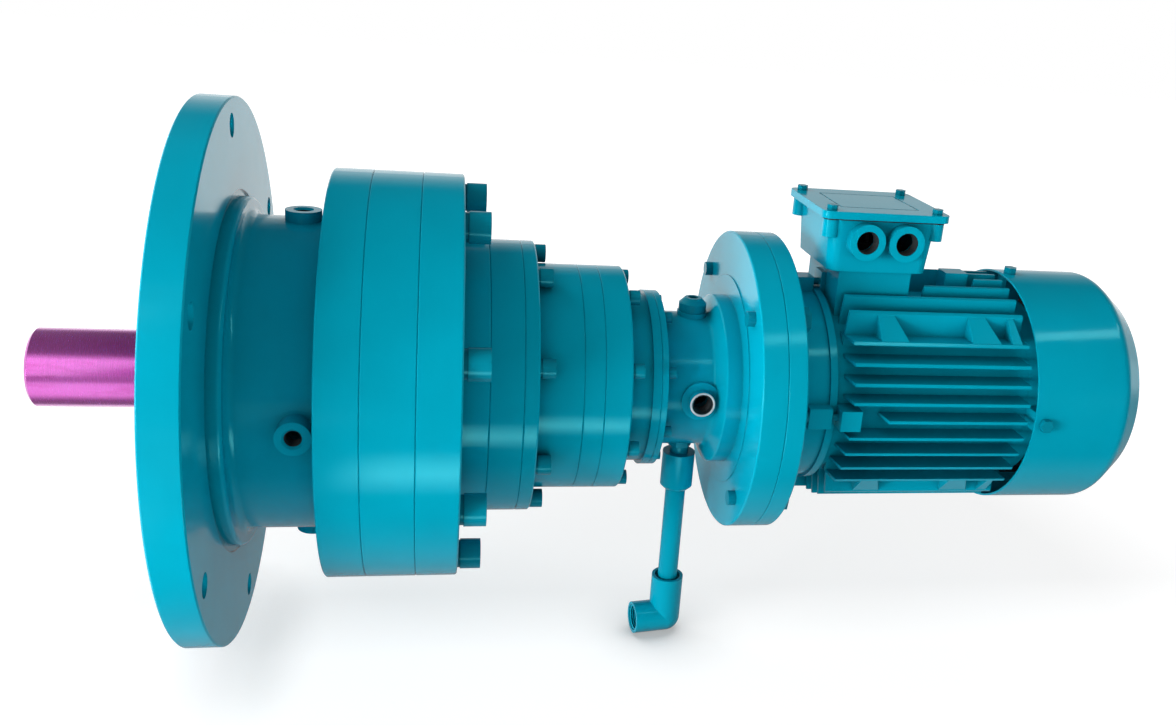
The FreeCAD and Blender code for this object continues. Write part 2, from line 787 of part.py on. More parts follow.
def pipe_coupling():
    top = coupling_top_r()
    low = top + coupling_len
    body = post(coupling_d, fitting_x, top, low - coupling_cut)
    taper = Part.makeCone(coupling_d / 2, coupling_d / 2 - coupling_cut, coupling_cut,
                          V(fitting_x, 0, low - coupling_cut))
    bores = [post(nipple_thread_d, fitting_x, top, low - pipe_seat),
             post(pipe_d, fitting_x, low - pipe_seat, low)]
    return clock(cut_all(body.fuse(taper).removeSplitter(), bores), 180)


def pipe_top_r():
    return coupling_top_r() + coupling_len - pipe_seat


def pipe_end_r():
    return pipe_top_r() + pipe_len + 2 * pipe_seat


def oil_pipe():
    tube_body = post(pipe_d, fitting_x, pipe_top_r(), pipe_end_r())
    return clock(tube_body.cut(post(pipe_bore_d, fitting_x, pipe_top_r(), pipe_end_r())), 180)


def pipe_elbow():
    """Elbow at the foot of the pipe, its arm turned a little towards the viewer."""
    top = pipe_end_r() - pipe_seat
    corner = top + elbow_height
    mouth_x = fitting_x - elbow_arm_len
    socket = post(elbow_d, fitting_x, top, corner)
    arm = rod(elbow_d, mouth_x, fitting_x, corner)
    ball = Part.makeSphere(elbow_d / 2, V(fitting_x, 0, corner))
    bores = [post(elbow_mouth_d, fitting_x, top, top + elbow_socket_relief),
             post(pipe_d, fitting_x, top, top + pipe_seat), post(pipe_bore_d, fitting_x, top, corner),
             rod(elbow_mouth_d, mouth_x, mouth_x + elbow_mouth_depth, corner),
             rod(pipe_bore_d, mouth_x, fitting_x, corner)]
    elbow = cut_all(socket.fuse([ball, arm]).removeSplitter(), bores)
    elbow.rotate(V(fitting_x, 0, 0), V(0, 0, 1), -elbow_turn)
    return clock(elbow, 180)


# Output shaft and the rest of the gear train

def keyway():
    """Slot with round ends for a parallel key."""
    x0 = key_from_end - shaft_end_len
    x1 = x0 + key_len
    r = key_w / 2
    floor_r = shaft_end_d / 2 - key_depth
    outline = wire([(x0, -r, r), (x1, -r, r), (x1, r, r), (x0, r, r)], lambda p: V(p.x, p.y, floor_r))
    return clock(Part.Face(outline).extrude(V(0, 0, shaft_end_d)), key_clock)


def output_shaft():
    r = shaft_end_d / 2
    shaft = turned([
        (-shaft_end_len, 0), (-shaft_end_len, r - shaft_chamfer), (shaft_chamfer - shaft_end_len, r),
        (seal_x - journal_lead, r), (seal_x - journal_lead, seal_journal_d / 2),
        (front_cup_x, seal_journal_d / 2), (front_cup_x, front_seat_d / 2), (rear_cup_x, front_seat_d / 2),
        (rear_cup_x, rear_seat_d / 2), (rear_cup_end, rear_seat_d / 2), (rear_cup_end, shaft_shoulder_d / 2),
        (stage_3.carrier_x, shaft_shoulder_d / 2), (stage_3.carrier_x, rear_seat_d / 2),
        (stage_3.carrier_end, rear_seat_d / 2), (stage_3.carrier_end, 0)])
    return shaft.cut(keyway())


def planet_carrier_3():
    return carrier_plate(stage_3).cut(rod(rear_seat_d, stage_3.carrier_x, stage_3.carrier_end))


def planet_carrier_2():
    """Carrier of stage 2 with the inner ring of its bearing as a solid of its own."""
    carrier = stub_carrier(stage_2, carrier_2_bearing_x, carrier_2_bearing_end, carrier_2_seat_d,
                           stage_3, stub_2_d)
    return Part.makeCompound([carrier, inner_ring(*carrier_2_bearing)])


def planet_carrier_1():
    """Carrier of stage 1 with the inner ring of its bearing as a solid of its own."""
    carrier = stub_carrier(stage_1, carrier_1_bearing_x, carrier_1_bearing_end, carrier_1_seat_d,
                           stage_2, stub_1_d)
    return Part.makeCompound([carrier, inner_ring(*carrier_1_bearing)])


def sun_gear_1():
    """Sun gear of the first stage, in one piece with the input shaft."""
    gear = gear_blank(sun_teeth, stage_1.module, stage_1.gear_x, stage_1.gear_w, 0)
    collar = rod(input_seat_d + 2 * sun_hub_step, stage_1.gear_end, input_bearing_x)
    stem = rod(input_seat_d, input_bearing_x, input_shaft_end())
    return gear.fuse([collar, stem]).removeSplitter()


def input_shaft_end():
    return motor_x - motor_shaft_len - shaft_end_gap


def coupling_sleeve():
    """Sleeve that joins the input shaft to the motor shaft."""
    middle = motor_x - motor_shaft_len
    x0 = middle - coupling_sleeve_len / 2
    x1 = middle + coupling_sleeve_len / 2
    sleeve = rod(coupling_sleeve_d, x0, x1)
    return cut_all(sleeve, [rod(input_seat_d, x0, middle), rod(motor_shaft_d, middle, x1)])


# Bearings and seal

def ring_split_d(bore_d, outer_d):
    """Diameter at which a bearing divides into its outer and its inner ring."""
    return (bore_d + outer_d) / 2


def outer_ring(bore_d, outer_d, x, width):
    return tube(outer_d, ring_split_d(bore_d, outer_d) + 2 * running_gap, x, x + width)


def inner_ring(bore_d, outer_d, x, width):
    return tube(ring_split_d(bore_d, outer_d), bore_d, x, x + width)


output_bearings = [(front_seat_d, front_bearing_d, front_cup_x, front_bearing_w),
                   (rear_seat_d, rear_bearing_d, rear_cup_x, rear_bearing_w)]
carrier_2_bearing = (carrier_2_seat_d, carrier_2_bearing_d, carrier_2_bearing_x, carrier_2_bearing_w)
carrier_1_bearing = (carrier_1_seat_d, carrier_1_bearing_d, carrier_1_bearing_x, carrier_1_bearing_w)
input_bearing = (input_seat_d, input_bearing_d, input_bearing_x, input_bearing_w)
motor_bearings = [(motor_bearing_seat_d, motor_bearing_d, motor_bearing_x, motor_bearing_w),
                  (motor_bearing_seat_d, motor_bearing_d, rear_bearing_x, motor_bearing_w)]


def outer_rings(bearings):
    return Part.makeCompound([outer_ring(*bearing) for bearing in bearings])


def inner_rings(bearings):
    return Part.makeCompound([inner_ring(*bearing) for bearing in bearings])


def oil_seal():
    """Radial shaft seal: a case in the housing and a lip that runs on the shaft."""
    case_r = seal_d / 2 - seal_step
    lip_r = seal_journal_d / 2 + running_gap
    return turned([(seal_x, lip_r), (seal_x, seal_d / 2), (seal_end, seal_d / 2), (seal_end, case_r),
                   (seal_x + seal_w / 4, case_r), (seal_x + seal_w / 2, lip_r)])


# Motor

def drive_end_shield():
    """Motor flange, barrel and drive-side bearing seat, with ears for the end screws."""
    bearing_end = motor_bearing_x + motor_bearing_w
    hub_r = motor_bearing_d / 2 + motor_bearing_hub_wall
    inner_r = barrel_d / 2 - barrel_wall
    seat_end = frame_x + shield_seat_len
    body = turned([
        (motor_x - motor_spigot_len, motor_seal_bore_d / 2),
        (motor_x - motor_spigot_len, motor_spigot_d / 2), (motor_x, motor_spigot_d / 2),
        (motor_x, motor_flange_d / 2 - seam_cut), (motor_x + seam_cut, motor_flange_d / 2),
        (barrel_x - edge_cut, motor_flange_d / 2),
        (barrel_x, motor_flange_d / 2 - edge_cut), (barrel_x, barrel_d / 2), (frame_x, barrel_d / 2),
        (frame_x, frame_bore_d / 2), (seat_end, frame_bore_d / 2), (seat_end, inner_r),
        (barrel_x + shield_wall, inner_r), (barrel_x + shield_wall, hub_r), (bearing_end, hub_r),
        (bearing_end, motor_bearing_d / 2), (motor_bearing_x, motor_bearing_d / 2),
        (motor_bearing_x, motor_seal_bore_d / 2)])
    ear = block(frame_x - end_ear_len, frame_x, -lug_w / 2, lug_w / 2, inner_r + barrel_wall / 2,
                fin_tip_d / 2 - end_ear_drop)
    body = body.fuse(around(ear, 4)).removeSplitter()
    screw_hole = rod(end_screw_d, frame_x - end_ear_len, frame_x, lug_screw_r())
    bolt_hole = rod(motor_bolt_d, motor_x, barrel_x, motor_bolt_pcd / 2)
    return cut_all(body, around(screw_hole, 4) + around(bolt_hole, motor_bolts, between(motor_bolts)))


def lug_screw_r():
    return fin_tip_d / 2 - end_screw_drop


def fin(side, number):
    """Straight fin on the side of the frame at this clock angle, with a sloped run-out."""
    start, end = fin_start(side, number), frame_end_x - fin_end_gap
    offset = number * fin_pitch
    plate = block(start, end, offset - fin_t / 2, offset + fin_t / 2, 0, fin_tip_d / 2)
    envelope = turned([(start, 0), (start, frame_bore_d / 2), (start + fin_runout, fin_tip_d / 2),
                       (end, fin_tip_d / 2), (end, 0)])
    return clock(plate.common(envelope), side)


def fin_start(side, number):
    """Fins start later behind a lug, the terminal box or the lifting boss."""
    if side == 0 and abs(number) < short_fins:
        return frame_x + lift_boss_from_frame + lift_boss_len
    if side == 0 and abs(number) == short_fins:
        return box_x + box_w / 2
    if number == 0:
        return frame_x + lug_from_frame + lug_len + lug_fin_gap
    return frame_x + fin_from_frame


def foot_pad(start, width):
    """Web in the corner between the last upright and the last level fin, narrower at its top."""
    corner = fins_per_side * fin_pitch
    top = math.sqrt((fin_tip_d / 2) ** 2 - corner ** 2) - gusset_drop
    points = [V(start, -corner, corner), V(start, -corner, top), V(start, -top, corner)]
    web = Part.Face(Part.makePolygon(points + points[:1])).extrude(V(width, 0, 0))
    sides = wire([(start, corner), (start + width, corner), (start + width * (1 - gusset_slope), top),
                  (start, top)], lambda p: V(p.x, -top, p.y))
    return web.common(Part.Face(sides).extrude(V(0, top - corner, 0)))


def motor_frame():
    """Frame with parallel fins, lugs, foot pads and the pedestal of the terminal box."""
    corner = fins_per_side * fin_pitch
    core = block(frame_x + fin_from_frame, frame_end_x - fin_end_gap, -corner, corner, -corner, corner)
    parts = [core, rod(rim_d, frame_x, frame_x + rim_len)]
    for side in (0, 90, 180, 270):
        parts += [fin(side, number) for number in range(-fins_per_side, fins_per_side + 1)]
        for start, width in zip(gusset_from_frame, gusset_w):
            parts.append(clock(foot_pad(frame_x + start, width), side))
    root_r = frame_bore_d / 2 + edge_cut
    lug_x = frame_x + lug_from_frame
    lug = block(lug_x, lug_x + lug_len, -lug_w / 2, lug_w / 2, root_r, fin_tip_d / 2 - edge_cut)
    parts += around(lug, 4)
    lift_x = frame_x + lift_boss_from_frame
    parts.append(block(lift_x, lift_x + lift_boss_len, -lug_w / 2, lug_w / 2, root_r,
                       fin_tip_d / 2 + lift_boss_rise))
    parts.append(block(box_x - pedestal_w / 2, box_x + pedestal_w / 2,
                       -pedestal_depth / 2, pedestal_depth / 2, root_r / 2, box_z))
    body = rod(frame_d, frame_x, frame_end_x).fuse(parts).removeSplitter()
    screw_holes_in_lugs = around(rod(end_screw_d, lug_x, lug_x + lug_len / 2, lug_screw_r()), 4)
    return cut_all(body, [rod(frame_bore_d, frame_x, frame_end_x), lead_hole()] + screw_holes_in_lugs)


def lead_hole():
    """Passage for the winding leads, from the stator up through the floor of the terminal box."""
    return Part.makeCylinder(lead_hole_d / 2, box_z + box_wall, V(box_x, lead_hole_y, 0))


def end_screws():
    screw = rod(end_screw_d, frame_x - end_ear_len, frame_x + lug_from_frame + lug_len / 2, lug_screw_r())
    head_x = frame_x - end_ear_len - end_screw_d / 2
    head = hexagon(cowl_screw_flats, V(head_x, 0, lug_screw_r()), end_screw_d / 2, AXIS)
    return Part.makeCompound(around(screw.fuse(head).removeSplitter(), 4))


def motor_flange_bolts():
    """Hexagon bolts through motor flange and adapter, their ends standing out on the gearbox side."""
    shank = rod(motor_bolt_d, adapter_flange_x - motor_bolt_stickout, barrel_x, motor_bolt_pcd / 2)
    head = hexagon(motor_bolt_flats, V(barrel_x, 0, motor_bolt_pcd / 2), motor_bolt_head_h, AXIS)
    return Part.makeCompound(around(shank.fuse(head).removeSplitter(), motor_bolts, between(motor_bolts)))


def stator_core():
    return tube(frame_bore_d, stator_bore_d, stator_x, stator_end_x)


def stator_windings():
    """The two end turns of the winding, one on each face of the core."""
    low = stator_bore_d / 2 + shoulder
    high = winding_d / 2
    ends = []
    for x, outward in ((stator_x, -1), (stator_end_x, 1)):
        tip = x + outward * winding_len
        ends.append(turned([(x, low), (x, high), (tip - outward * shoulder, high), (tip, high - shoulder),
                            (tip, low + shoulder), (tip - outward * shoulder, low)]))
    return Part.makeCompound(ends)


def motor_shaft():
    start = motor_x - motor_shaft_len
    bearing_end = motor_bearing_x + motor_bearing_w
    core_r, seat_r, fan_r = motor_core_shaft_d / 2, motor_bearing_seat_d / 2, fan_seat_d / 2
    return turned([
        (start, 0), (start, motor_shaft_d / 2), (motor_x, motor_shaft_d / 2), (motor_x, seat_r),
        (bearing_end, seat_r), (bearing_end, core_r), (rear_bearing_x, core_r), (rear_bearing_x, seat_r),
        (fan_x, seat_r), (fan_x, fan_r), (fan_x + fan_w, fan_r), (fan_x + fan_w, 0)])


def rotor_core():
    """Rotor laminations with the cast end ring of the cage on both faces."""
    outer_r = stator_bore_d / 2 - air_gap
    bore_r = motor_core_shaft_d / 2
    ring_r = rotor_end_ring_d / 2
    return turned([
        (stator_x - rotor_end_ring_w, bore_r), (stator_x - rotor_end_ring_w, ring_r), (stator_x, ring_r),
        (stator_x, outer_r), (stator_end_x, outer_r), (stator_end_x, ring_r),
        (stator_end_x + rotor_end_ring_w, ring_r), (stator_end_x + rotor_end_ring_w, bore_r)])


def rear_end_shield():
    """Shield behind the frame, with the rear bearing seat and the lugs that hold the cowl."""
    end = rear_shield_x + rear_shield_t
    hub_r = motor_bearing_d / 2 + motor_bearing_hub_wall
    bearing_end = rear_bearing_x + motor_bearing_w
    seat_x = rear_shield_x - shield_seat_len
    inner_r = frame_bore_d / 2 - shield_wall - recess_gap
    body = turned([
        (seat_x, inner_r), (seat_x, frame_bore_d / 2), (rear_shield_x, frame_bore_d / 2),
        (rear_shield_x, frame_d / 2), (end, frame_d / 2), (end, motor_seal_bore_d / 2),
        (bearing_end, motor_seal_bore_d / 2), (bearing_end, motor_bearing_d / 2),
        (rear_bearing_x, motor_bearing_d / 2), (rear_bearing_x, hub_r), (rear_shield_x + shield_wall, hub_r),
        (rear_shield_x + shield_wall, inner_r)])
    cowl_bore = rod(cowl_d - 2 * cowl_wall - 2 * seat_gap, rear_shield_x, end)
    lug = block(rear_shield_x, end, -cowl_lug_w / 2, cowl_lug_w / 2, frame_d / 2 - edge_cut, cowl_d / 2)
    body = body.fuse([arm.common(cowl_bore) for arm in around(lug, 4)]).removeSplitter()
    return cut_all(body, around(cowl_screw_hole(), 4))


def cowl_screw_hole():
    top = cowl_d / 2
    return post(cowl_screw_d, cowl_x + cowl_screw_from_edge, top - cowl_screw_depth, top)


def cowl_screws():
    x = cowl_x + cowl_screw_from_edge
    head = hexagon(cowl_screw_flats, V(x, 0, cowl_d / 2), cowl_screw_head_h, V(0, 0, 1))
    return Part.makeCompound(around(cowl_screw_hole().fuse(head).removeSplitter(), 4))


def cooling_fan():
    """Fan of straight radial blades on a disc and a hub."""
    hub = rod(fan_hub_d, fan_x, fan_x + fan_w)
    disc = rod(fan_d - fan_hub_d / 2, fan_x, fan_x + fan_disc_t)
    blade = block(fan_x, fan_x + fan_w, -fan_blade_t / 2, fan_blade_t / 2, fan_seat_d / 2 + fan_blade_t,
                  fan_d / 2)
    fan = hub.fuse([disc] + around(blade, fan_blades)).removeSplitter()
    return fan.cut(rod(fan_seat_d, fan_x, fan_x + fan_w))


def fan_cowl():
    """Sheet cowl with a straight wall, a sloping shoulder and an air grille in its end."""
    r, end_r, wall = cowl_d / 2, cowl_end_d / 2, cowl_wall
    bend_x, end = cowl_x + cowl_straight, cowl_x + cowl_len
    shell = turned([
        (cowl_x, r - wall), (cowl_x, r), (bend_x, r, cowl_round), (end, end_r), (end, 0), (end - wall, 0),
        (end - wall, end_r - wall), (bend_x, r - wall, cowl_round - wall)])
    slots = []
    for i in range(grille_rings):
        inner = grille_first_d + 2 * i * grille_ring_step
        slots.append(tube(inner + 2 * grille_slot_w, inner, end - 2 * wall, end + wall))
    bar = block(end - 2 * wall, end + wall, -grille_slot_w / 2, grille_slot_w / 2, 0, end_r)
    openings = cut_all(Part.makeCompound(slots), around(bar, grille_spokes, between(grille_spokes)))
    return cut_all(shell, [openings] + around(cowl_screw_hole(), 4))


# Terminal box

def centred_outline(width, depth, radius, z):
    """Rectangle with rounded corners, centred on the terminal box."""
    a, b = width / 2, depth / 2
    return wire([(-a, -b, radius), (a, -b, radius), (a, b, radius), (-a, b, radius)],
                lambda p: V(box_x + p.x, p.y, z))


def centred_slab(width, depth, radius, z, height):
    return Part.Face(centred_outline(width, depth, radius, z)).extrude(V(0, 0, height))


def lid_corners():
    a, b = lid_w / 2 - lid_screw_inset, lid_depth / 2 - lid_screw_inset
    return [(box_x + i * a, j * b) for i in (-1, 1) for j in (-1, 1)]


def drafted(width, foot_width, depth, foot_depth, radius, z0, z1):
    """Cast form with a foot, a wider top and rounded upright edges."""
    outlines = []
    for w, d, z in ((foot_width, foot_depth, z0), (width, depth, z1)):
        points = [V(box_x + i * w / 2, j * d / 2, z) for i, j in ((-1, -1), (1, -1), (1, 1), (-1, 1))]
        outlines.append(Part.makePolygon(points + points[:1]))
    form = Part.makeLoft(outlines, True, True)
    upright = [edge for edge in form.Edges if abs(edge.Vertexes[0].Z - edge.Vertexes[1].Z) > (z1 - z0) / 2]
    return form.makeFillet(radius, upright)


def terminal_box():
    """Cast box with draft, two cable entries on the viewer's side and ears for the lid screws."""
    body = drafted(box_w, box_foot_w, box_depth, box_foot_depth, box_round, box_z, box_top_z)
    hollow = drafted(box_w - 2 * box_wall, box_foot_w - 2 * box_wall, box_depth - 2 * box_wall,
                     box_foot_depth - 2 * box_wall, box_round - box_wall, box_z + box_wall, box_top_z)
    mouth_y = -box_depth / 2 - entry_len
    entries, bores = [], []
    for x in (box_x - entry_spacing / 2, box_x + entry_spacing / 2):
        mouth = V(x, mouth_y, entry_z)
        entries.append(Part.makeCylinder(entry_d / 2, entry_len + 2 * box_wall, mouth, V(0, 1, 0)))
        bores.append(Part.makeCylinder(entry_bore_d / 2, entry_len + 3 * box_wall, mouth, V(0, 1, 0)))
    shell = cut_all(body.fuse(entries).removeSplitter(), [hollow, lead_hole()] + bores)
    ear_z = box_top_z - lid_ear_h
    shell = shell.fuse([upright_rod(lid_ear_d, x, y, ear_z, box_top_z) for x, y in lid_corners()])
    holes = [upright_rod(lid_screw_d, x, y, ear_z, box_top_z) for x, y in lid_corners()]
    return cut_all(shell.removeSplitter(), holes)


def upright_rod(d, x, y, z0, z1):
    return Part.makeCylinder(d / 2, z1 - z0, V(x, y, z0))


def lid_gasket():
    lid_z = box_top_z + gasket_t
    inner_w, inner_depth = box_w - 2 * box_wall, box_depth - 2 * box_wall
    frame = centred_slab(box_w, box_depth, box_round, box_top_z, gasket_t)
    opening = centred_slab(inner_w, inner_depth, box_round - box_wall, box_top_z, gasket_t)
    ears = [upright_rod(lid_ear_d, x, y, box_top_z, lid_z) for x, y in lid_corners()]
    gasket = frame.cut(opening).fuse(ears).removeSplitter()
    return cut_all(gasket, [upright_rod(lid_screw_d, x, y, box_top_z, lid_z) for x, y in lid_corners()])


def terminal_lid():
    """Lid with a shallow rectangular line in its top."""
    z = box_top_z + gasket_t
    top = z + lid_t
    lid = centred_slab(lid_w, lid_depth, lid_round, z, lid_t)
    panel_w, panel_depth = lid_w - 2 * lid_panel_inset, lid_depth - 2 * lid_panel_inset
    line = centred_slab(panel_w, panel_depth, lid_panel_line, top - lid_panel_depth, lid_panel_depth)
    island = centred_slab(panel_w - 2 * lid_panel_line, panel_depth - 2 * lid_panel_line,
                          lid_panel_line / 2, top - lid_panel_depth, lid_panel_depth)
    cuts = [line.cut(island)] + [upright_rod(lid_screw_d, x, y, z, top) for x, y in lid_corners()]
    return cut_all(lid, cuts)


def lid_screws():
    top = box_top_z + gasket_t + lid_t
    screws = []
    for x, y in lid_corners():
        head = hexagon(lid_screw_flats, V(x, y, top), lid_screw_head_h, V(0, 0, 1))
        shank = upright_rod(lid_screw_d, x, y, box_top_z - lid_ear_h, top)
        screws.append(shank.fuse(head).removeSplitter())
    return Part.makeCompound(screws)


def terminal_block():
    """Moulded block with six studs on the floor of the box."""
    floor = box_z + box_wall
    base = block(box_x - terminal_w / 2, box_x + terminal_w / 2, -terminal_depth / 2, terminal_depth / 2,
                 floor, floor + terminal_h)
    studs = [upright_rod(stud_d, box_x + i * stud_step, j * stud_step / 2, floor + terminal_h,
                         floor + terminal_h + stud_h) for i in (-1, 0, 1) for j in (-1, 1)]
    return base.fuse(studs).removeSplitter()


# Sub-parts by name

def build():
    nodes = {
        "output_housing": output_housing(),
        "ring_gear_3": ring_gear(stage_3, body_3_d, screw_3_d, screw_3_pcd),
        "ring_gear_2": ring_gear(stage_2, body_2_d, screw_2_d, screw_2_pcd),
        "ring_gear_1": ring_gear(stage_1, body_1_d, screw_1_d, screw_1_pcd),
        "stage_cover_3": stage_cover_3(),
        "stage_cover_2": stage_cover_2(),
        "stage_cover_1": stage_cover_1(),
        "input_adapter": input_adapter(),
        "housing_screws_3": stage_screw_set(screw_3_d, screw_3_pcd, band_2_x,
                                            cover_3_t + ring_3_w + screw_reach(screw_3_d)),
        "housing_screws_2": stage_screw_set(screw_2_d, screw_2_pcd, band_1_x,
                                            cover_2_t + ring_2_w + screw_reach(screw_2_d)),
        "housing_screws_1": stage_screw_set(screw_1_d, screw_1_pcd, waist_x,
                                            cover_1_t + ring_1_w + screw_reach(screw_1_d)),
        "adapter_screws": stage_screw_set(screw_0_d, screw_0_pcd, joint_x + adapter_plate_t,
                                          adapter_plate_t + screw_reach(screw_0_d)),
        "output_oil_seal": oil_seal(),
        "gearbox_bearing_outer_rings": outer_rings(output_bearings + [carrier_2_bearing, carrier_1_bearing,
                                                                      input_bearing]),
        "filler_plug": filler_plug(),
        "pipe_nipple": pipe_nipple(),
        "pipe_coupling": pipe_coupling(),
        "oil_pipe": oil_pipe(),
        "pipe_elbow": pipe_elbow(),
        "output_shaft": output_shaft(),
        "output_bearing_inner_rings": inner_rings(output_bearings),
        "planet_carrier_3": planet_carrier_3(),
        "planet_pins_3": planet_pins(stage_3),
        "sun_gear_3": stub_sun(stage_3, carrier_2_bearing_x, carrier_2_seat_d, stub_2_d),
        "planet_carrier_2": planet_carrier_2(),
        "planet_pins_2": planet_pins(stage_2),
        "sun_gear_2": stub_sun(stage_2, carrier_1_bearing_x, carrier_1_seat_d, stub_1_d),
        "planet_carrier_1": planet_carrier_1(),
        "planet_pins_1": planet_pins(stage_1),
        "sun_gear_1": sun_gear_1(),
        "coupling_sleeve": coupling_sleeve(),
        "motor_shaft": motor_shaft(),
        "rotor_core": rotor_core(),
        "cooling_fan": cooling_fan(),
        "rotor_bearing_inner_rings": inner_rings(motor_bearings + [input_bearing]),
        "drive_end_shield": drive_end_shield(),
        "motor_flange_bolts": motor_flange_bolts(),
        "motor_frame": motor_frame(),
        "end_screws": end_screws(),
        "stator_core": stator_core(),
        "stator_windings": stator_windings(),
        "rear_end_shield": rear_end_shield(),
        "motor_bearing_outer_rings": outer_rings(motor_bearings),
        "fan_cowl": fan_cowl(),
        "cowl_screws": cowl_screws(),
        "terminal_box": terminal_box(),
        "lid_gasket": lid_gasket(),
        "terminal_lid": terminal_lid(),
        "lid_screws": lid_screws(),
        "terminal_block": terminal_block(),
    }
    for number, stage in ((3, stage_3), (2, stage_2), (1, stage_1)):
        for i in range(planets):
            nodes["planet_gear_%d_%d" % (number, i + 1)] = planet_gear(stage, i)
    return nodes


os.makedirs("parts", exist_ok=True)
for name, shape in build().items():
    shape.exportStep("parts/%s.step" % name)
    print(name, "solids", len(shape.Solids), "valid", shape.isValid(), "volume", round(shape.Volume))
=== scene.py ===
"""Looks of the planetary gear motor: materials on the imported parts, small fittings, light, floor and camera.

The frame is the CAD model's: X runs along the shaft towards the motor, Z is up, and the origin is the
centre of the output flange's mounting face. Lengths are in metres where no name or comment says
millimetres.
"""
import math

import bmesh
import bpy
from mathutils import Matrix, Vector


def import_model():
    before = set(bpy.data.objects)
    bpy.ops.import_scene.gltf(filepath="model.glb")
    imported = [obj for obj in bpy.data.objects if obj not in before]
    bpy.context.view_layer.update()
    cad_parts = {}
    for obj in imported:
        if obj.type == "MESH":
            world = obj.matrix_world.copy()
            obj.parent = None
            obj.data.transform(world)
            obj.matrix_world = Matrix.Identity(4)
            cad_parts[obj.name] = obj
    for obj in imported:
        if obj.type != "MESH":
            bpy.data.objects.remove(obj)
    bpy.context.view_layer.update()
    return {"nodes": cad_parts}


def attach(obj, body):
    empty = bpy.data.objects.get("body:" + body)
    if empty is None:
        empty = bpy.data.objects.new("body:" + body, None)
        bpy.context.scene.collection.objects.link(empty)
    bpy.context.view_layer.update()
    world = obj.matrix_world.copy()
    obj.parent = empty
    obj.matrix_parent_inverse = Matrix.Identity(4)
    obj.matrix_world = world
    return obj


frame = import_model()

MM = 0.001
# Just under the elbow of the oil pipe, the lowest point of the part
FLOOR_Z = -0.2447

# Colours, linear RGB
WHITE = (1.0, 1.0, 1.0)
TEAL = (0.0, 0.440, 0.620)
TEAL_DEEP = (0.0, 0.390, 0.550)
TEAL_SCREW = (0.0, 0.275, 0.390)
LACQUER = (0.82, 0.12, 0.68)
LACQUER_DEEP = (0.62, 0.03, 0.42)
LACQUER_PALE = (0.90, 0.20, 0.82)
STEEL = (0.58, 0.59, 0.61)
GEAR_STEEL = (0.46, 0.46, 0.48)
# Painted shade: the threads' near-black stands in for the dark inside of the bores
THREAD_PAINTED_SHADE = (0.012, 0.020, 0.024)
BUSH_BRIGHT = (0.86, 0.87, 0.88)
SHEET_DARK, SHEET_PALE = (0.16, 0.16, 0.17), (0.34, 0.34, 0.36)
WIRE_DARK, WIRE_PALE = (0.28, 0.08, 0.03), (0.75, 0.30, 0.12)
RUBBER = (0.018, 0.018, 0.02)
PLASTIC = (0.025, 0.025, 0.028)

# Painted shade: the paint darkens in recesses, where shade falls, within this reach and down to this share of
# its colour
PAINTED_SHADE_REACH = 20.0 * MM
PAINTED_SHADE_SHARE = 0.40

# Places of the colour sockets on the mix node, whose names its number and vector sockets share
MIX_COLOUR_A, MIX_COLOUR_B, MIX_COLOUR_OUT = 6, 7, 2


def scaled(colour, share):
    return tuple(share * c for c in colour)


class Nodes:
    """The node tree of one material or world, with the sums that they share."""

    def __init__(self, tree, output_kind):
        self.tree = tree
        tree.nodes.clear()
        self.output = self.add(output_kind)

    def add(self, kind, inputs=None, **settings):
        node = self.tree.nodes.new(kind)
        for key, value in settings.items():
            setattr(node, key, value)
        for key, value in (inputs or {}).items():
            self.put(node.inputs[key], value)
        return node

    def put(self, socket, value):
        if isinstance(value, bpy.types.NodeSocket):
            self.tree.links.new(value, socket)
        elif isinstance(value, tuple) and len(value) == 3 and socket.type == "RGBA":
            socket.default_value = (*value, 1.0)
        else:
            socket.default_value = value

    def show(self, shader):
        self.tree.links.new(shader.outputs[0], self.output.inputs["Surface"])

    def ramp(self, value, low, high, out_low=0.0, out_high=1.0):
        """A value mapped from one range to another and clamped there."""
        node = self.add("ShaderNodeMapRange", {"Value": value, "From Min": low, "From Max": high,
                                               "To Min": out_low, "To Max": out_high})
        return node.outputs["Result"]

    def maths(self, operation, a, b):
        node = self.add("ShaderNodeMath", operation=operation)
        self.put(node.inputs[0], a)
        self.put(node.inputs[1], b)
        return node.outputs[0]

    def plus(self, a, b):
        return self.maths("ADD", a, b)

    def times(self, a, b):
        return self.maths("MULTIPLY", a, b)

    def larger(self, a, b):
        return self.maths("MAXIMUM", a, b)

    def either(self, factor, a, b):
        """The value a where the factor is 0 and b where it is 1."""
        return self.plus(self.times(self.maths("SUBTRACT", 1.0, factor), a), self.times(factor, b))

    def split(self, vector):
        return self.add("ShaderNodeSeparateXYZ", {"Vector": vector}).outputs


